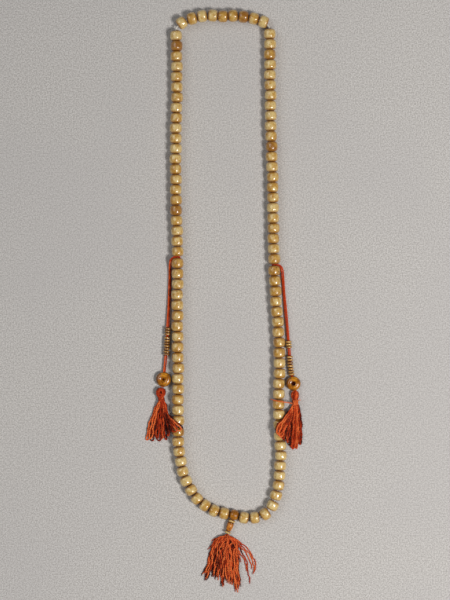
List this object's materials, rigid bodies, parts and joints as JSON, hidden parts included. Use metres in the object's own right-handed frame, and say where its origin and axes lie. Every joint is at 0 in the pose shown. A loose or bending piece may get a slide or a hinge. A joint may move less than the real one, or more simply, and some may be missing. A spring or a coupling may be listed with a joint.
{
  "type": "mala prayer beads",
  "caption": "Looped string of barrel-shaped bone beads with a guru bead and tassel, and two side cords of sliding counter discs that end in ring beads and tassels.",
  "frame": {"origin": "middle of the whole object's outline, on the surface it lies on", "axes": "+Z up from the table, +Y along the loop from the guru tassel to the top arch, +X to the right seen from above with +Y up"},
  "size_m": [0.1082, 0.4028, 0.0102],
  "materials": {
    "bead_bone": "gloss",
    "counter_bone": "gloss",
    "guru_bone": "gloss",
    "pale_disc": "gloss",
    "tower_bone": "gloss",
    "amber_ring": "gloss",
    "thread": "matte",
    "counter_cord": "matte",
    "tassel_yarn": "matte"
  },
  "bodies": {
    "top_arch": {"top_thread": "thread", "top_beads_1": "bead_bone", "top_beads_2": "bead_bone"},
    "left_strand": {"left_thread": "thread"},
    "left_bead_row": {"left_beads_1": "bead_bone", "left_beads_2": "bead_bone", "left_beads_3": "bead_bone", "left_beads_4": "bead_bone", "left_beads_5": "bead_bone", "left_beads_6": "bead_bone", "left_beads_7": "bead_bone", "left_loop": "counter_cord"},
    "right_strand": {"right_thread": "thread"},
    "right_bead_row": {"right_beads_1": "bead_bone", "right_beads_2": "bead_bone", "right_beads_3": "bead_bone", "right_beads_4": "bead_bone", "right_beads_5": "bead_bone", "right_beads_6": "bead_bone", "right_beads_7": "bead_bone", "right_loop": "counter_cord"},
    "bottom_curve": {"bottom_thread": "thread", "guru_bead": "guru_bone", "bottom_beads_1": "bead_bone", "bottom_beads_2": "bead_bone", "bottom_beads_3": "bead_bone", "bottom_beads_4": "bead_bone"},
    "guru_pendant": {"collar_disc": "pale_disc", "tower_bead": "tower_bone", "foot_ring": "pale_disc", "pendant_cord": "counter_cord"},
    "guru_tassel_body": {"guru_tassel": "tassel_yarn"},
    "left_counter_string": {"left_counter_cord": "counter_cord"},
    "left_disc_10": {"left_counter_10": "counter_bone"},
    "left_disc_09": {"left_counter_09": "counter_bone"},
    "left_disc_08": {"left_counter_08": "counter_bone"},
    "left_disc_07": {"left_counter_07": "counter_bone"},
    "left_disc_06": {"left_counter_06": "counter_bone"},
    "left_disc_05": {"left_counter_05": "counter_bone"},
    "left_disc_04": {"left_counter_04": "counter_bone"},
    "left_disc_03": {"left_counter_03": "counter_bone"},
    "left_disc_02": {"left_counter_02": "counter_bone"},
    "left_disc_01": {"left_counter_01": "counter_bone"},
    "left_ring": {"left_ring_bead": "amber_ring"},
    "left_tassel_body": {"left_tassel_knot": "tassel_yarn", "left_tassel": "tassel_yarn"},
    "right_counter_string": {"right_counter_cord": "counter_cord"},
    "right_disc_10": {"right_counter_10": "counter_bone"},
    "right_disc_09": {"right_counter_09": "counter_bone"},
    "right_disc_08": {"right_counter_08": "counter_bone"},
    "right_disc_07": {"right_counter_07": "counter_bone"},
    "right_disc_06": {"right_counter_06": "counter_bone"},
    "right_disc_05": {"right_counter_05": "counter_bone"},
    "right_disc_04": {"right_counter_04": "counter_bone"},
    "right_disc_03": {"right_counter_03": "counter_bone"},
    "right_disc_02": {"right_counter_02": "counter_bone"},
    "right_disc_01": {"right_counter_01": "counter_bone"},
    "right_ring": {"right_ring_bead": "amber_ring"},
    "right_tassel_body": {"right_tassel_knot": "tassel_yarn", "right_tassel": "tassel_yarn"}
  },
  "joints": [
    {"name": "left_strand_swing", "type": "hinge", "parent": "top_arch", "child": "left_strand", "pos_m": [-0.0336, 0.1887, 0.0042], "axis": [0, 0, 1], "range_deg": [-6, 6]},
    {"name": "right_strand_swing", "type": "hinge", "parent": "top_arch", "child": "right_strand", "pos_m": [0.0311, 0.189, 0.0042], "axis": [0, 0, 1], "range_deg": [-6, 6]},
    {"name": "bottom_curve_swing", "type": "hinge", "parent": "left_strand", "child": "bottom_curve", "pos_m": [-0.032, -0.0861, 0.0042], "axis": [0, 0, 1], "range_deg": [-6, 6]},
    {"name": "left_beads_slide", "type": "slide", "parent": "left_strand", "child": "left_bead_row", "axis": [0, 1, 0], "range_m": [0, 0.0006]},
    {"name": "right_beads_slide", "type": "slide", "parent": "right_strand", "child": "right_bead_row", "axis": [0, 1, 0], "range_m": [0, 0.0005]},
    {"name": "pendant_swing", "type": "hinge", "parent": "bottom_curve", "child": "guru_pendant", "pos_m": [0.00535, -0.15088, 0.0026], "axis": [0, 0, 1], "range_deg": [-10, 10]},
    {"name": "guru_tassel_swing", "type": "hinge", "parent": "guru_pendant", "child": "guru_tassel_body", "pos_m": [0.00181, -0.16044, 0.0026], "axis": [0, 0, 1], "range_deg": [-20, 20]},
    {"name": "left_counter_swing", "type": "hinge", "parent": "left_bead_row", "child": "left_counter_string", "pos_m": [-0.0373, 0.0299, 0.0032], "axis": [0, 0, -1], "range_deg": [0, 60]},
    {"name": "left_disc_10_slide", "type": "slide", "parent": "left_counter_string", "child": "left_disc_10", "axis": [0.051, 0.9987, 0], "range_m": [-0.004, 0.0012]},
    {"name": "left_disc_09_slide", "type": "slide", "parent": "left_disc_10", "child": "left_disc_09", "axis": [0.051, 0.9987, 0], "range_m": [0, 0.0012]},
    {"name": "left_disc_08_slide", "type": "slide", "parent": "left_disc_09", "child": "left_disc_08", "axis": [0.051, 0.9987, 0], "range_m": [0, 0.0012]},
    {"name": "left_disc_07_slide", "type": "slide", "parent": "left_disc_08", "child": "left_disc_07", "axis": [0.051, 0.9987, 0], "range_m": [0, 0.0012]},
    {"name": "left_disc_06_slide", "type": "slide", "parent": "left_disc_07", "child": "left_disc_06", "axis": [0.051, 0.9987, 0], "range_m": [0, 0.0012]},
    {"name": "left_disc_05_slide", "type": "slide", "parent": "left_disc_06", "child": "left_disc_05", "axis": [0.051, 0.9987, 0], "range_m": [0, 0.0012]},
    {"name": "left_disc_04_slide", "type": "slide", "parent": "left_disc_05", "child": "left_disc_04", "axis": [0.051, 0.9987, 0], "range_m": [0, 0.0012]},
    {"name": "left_disc_03_slide", "type": "slide", "parent": "left_disc_04", "child": "left_disc_03", "axis": [0.051, 0.9987, 0], "range_m": [-0.0006, 0.0012]},
    {"name": "left_disc_02_slide", "type": "slide", "parent": "left_disc_03", "child": "left_disc_02", "axis": [0.051, 0.9987, 0], "range_m": [0, 0.0012]},
    {"name": "left_disc_01_slide", "type": "slide", "parent": "left_disc_02", "child": "left_disc_01", "axis": [0.051, 0.9987, 0], "range_m": [0, 0.0012]},
    {"name": "left_ring_spin", "type": "hinge", "parent": "left_counter_string", "child": "left_ring", "pos_m": [-0.04216, -0.054, 0.00236], "axis": [-0.1283, -0.9916, 0.0175], "continuous": true},
    {"name": "left_tassel_swing", "type": "hinge", "parent": "left_counter_string", "child": "left_tassel_body", "pos_m": [-0.04287, -0.0595, 0.00245], "axis": [0, 0, -1], "range_deg": [0, 25]},
    {"name": "right_counter_swing", "type": "hinge", "parent": "right_bead_row", "child": "right_counter_string", "pos_m": [0.0395, 0.025, 0.0032], "axis": [0, 0, 1], "range_deg": [0, 60]},
    {"name": "right_disc_10_slide", "type": "slide", "parent": "right_counter_string", "child": "right_disc_10", "axis": [-0.0785, 0.9969, 0], "range_m": [0, 0.0012]},
    {"name": "right_disc_09_slide", "type": "slide", "parent": "right_disc_10", "child": "right_disc_09", "axis": [-0.0785, 0.9969, 0], "range_m": [0, 0.0012]},
    {"name": "right_disc_08_slide", "type": "slide", "parent": "right_disc_09", "child": "right_disc_08", "axis": [-0.0785, 0.9969, 0], "range_m": [0, 0.0012]},
    {"name": "right_disc_07_slide", "type": "slide", "parent": "right_disc_08", "child": "right_disc_07", "axis": [-0.0785, 0.9969, 0], "range_m": [0, 0.0012]},
    {"name": "right_disc_06_slide", "type": "slide", "parent": "right_disc_07", "child": "right_disc_06", "axis": [-0.0785, 0.9969, 0], "range_m": [0, 0.0012]},
    {"name": "right_disc_05_slide", "type": "slide", "parent": "right_disc_06", "child": "right_disc_05", "axis": [-0.0785, 0.9969, 0], "range_m": [0, 0.0012]},
    {"name": "right_disc_04_slide", "type": "slide", "parent": "right_disc_05", "child": "right_disc_04", "axis": [-0.0785, 0.9969, 0], "range_m": [0, 0.0012]},
    {"name": "right_disc_03_slide", "type": "slide", "parent": "right_disc_04", "child": "right_disc_03", "axis": [-0.0785, 0.9969, 0], "range_m": [-0.0045, 0.0012]},
    {"name": "right_disc_02_slide", "type": "slide", "parent": "right_disc_03", "child": "right_disc_02", "axis": [-0.0785, 0.9969, 0], "range_m": [0, 0.0012]},
    {"name": "right_disc_01_slide", "type": "slide", "parent": "right_disc_02", "child": "right_disc_01", "axis": [-0.0785, 0.9969, 0], "range_m": [0, 0.0012]},
    {"name": "right_ring_spin", "type": "hinge", "parent": "right_counter_string", "child": "right_ring", "pos_m": [0.04761, -0.0568, 0.00233], "axis": [0.2141, -0.9766, 0.0225], "continuous": true},
    {"name": "right_tassel_swing", "type": "hinge", "parent": "right_counter_string", "child": "right_tassel_body", "pos_m": [0.04882, -0.06225, 0.00245], "axis": [0, 0, 1], "range_deg": [0, 25]}
  ],
  "couplings": [
    {"joint": "right_strand_swing", "follows": "left_strand_swing", "ratio": 0.98924},
    {"joint": "bottom_curve_swing", "follows": "left_strand_swing", "ratio": -0.92797}
  ]
}
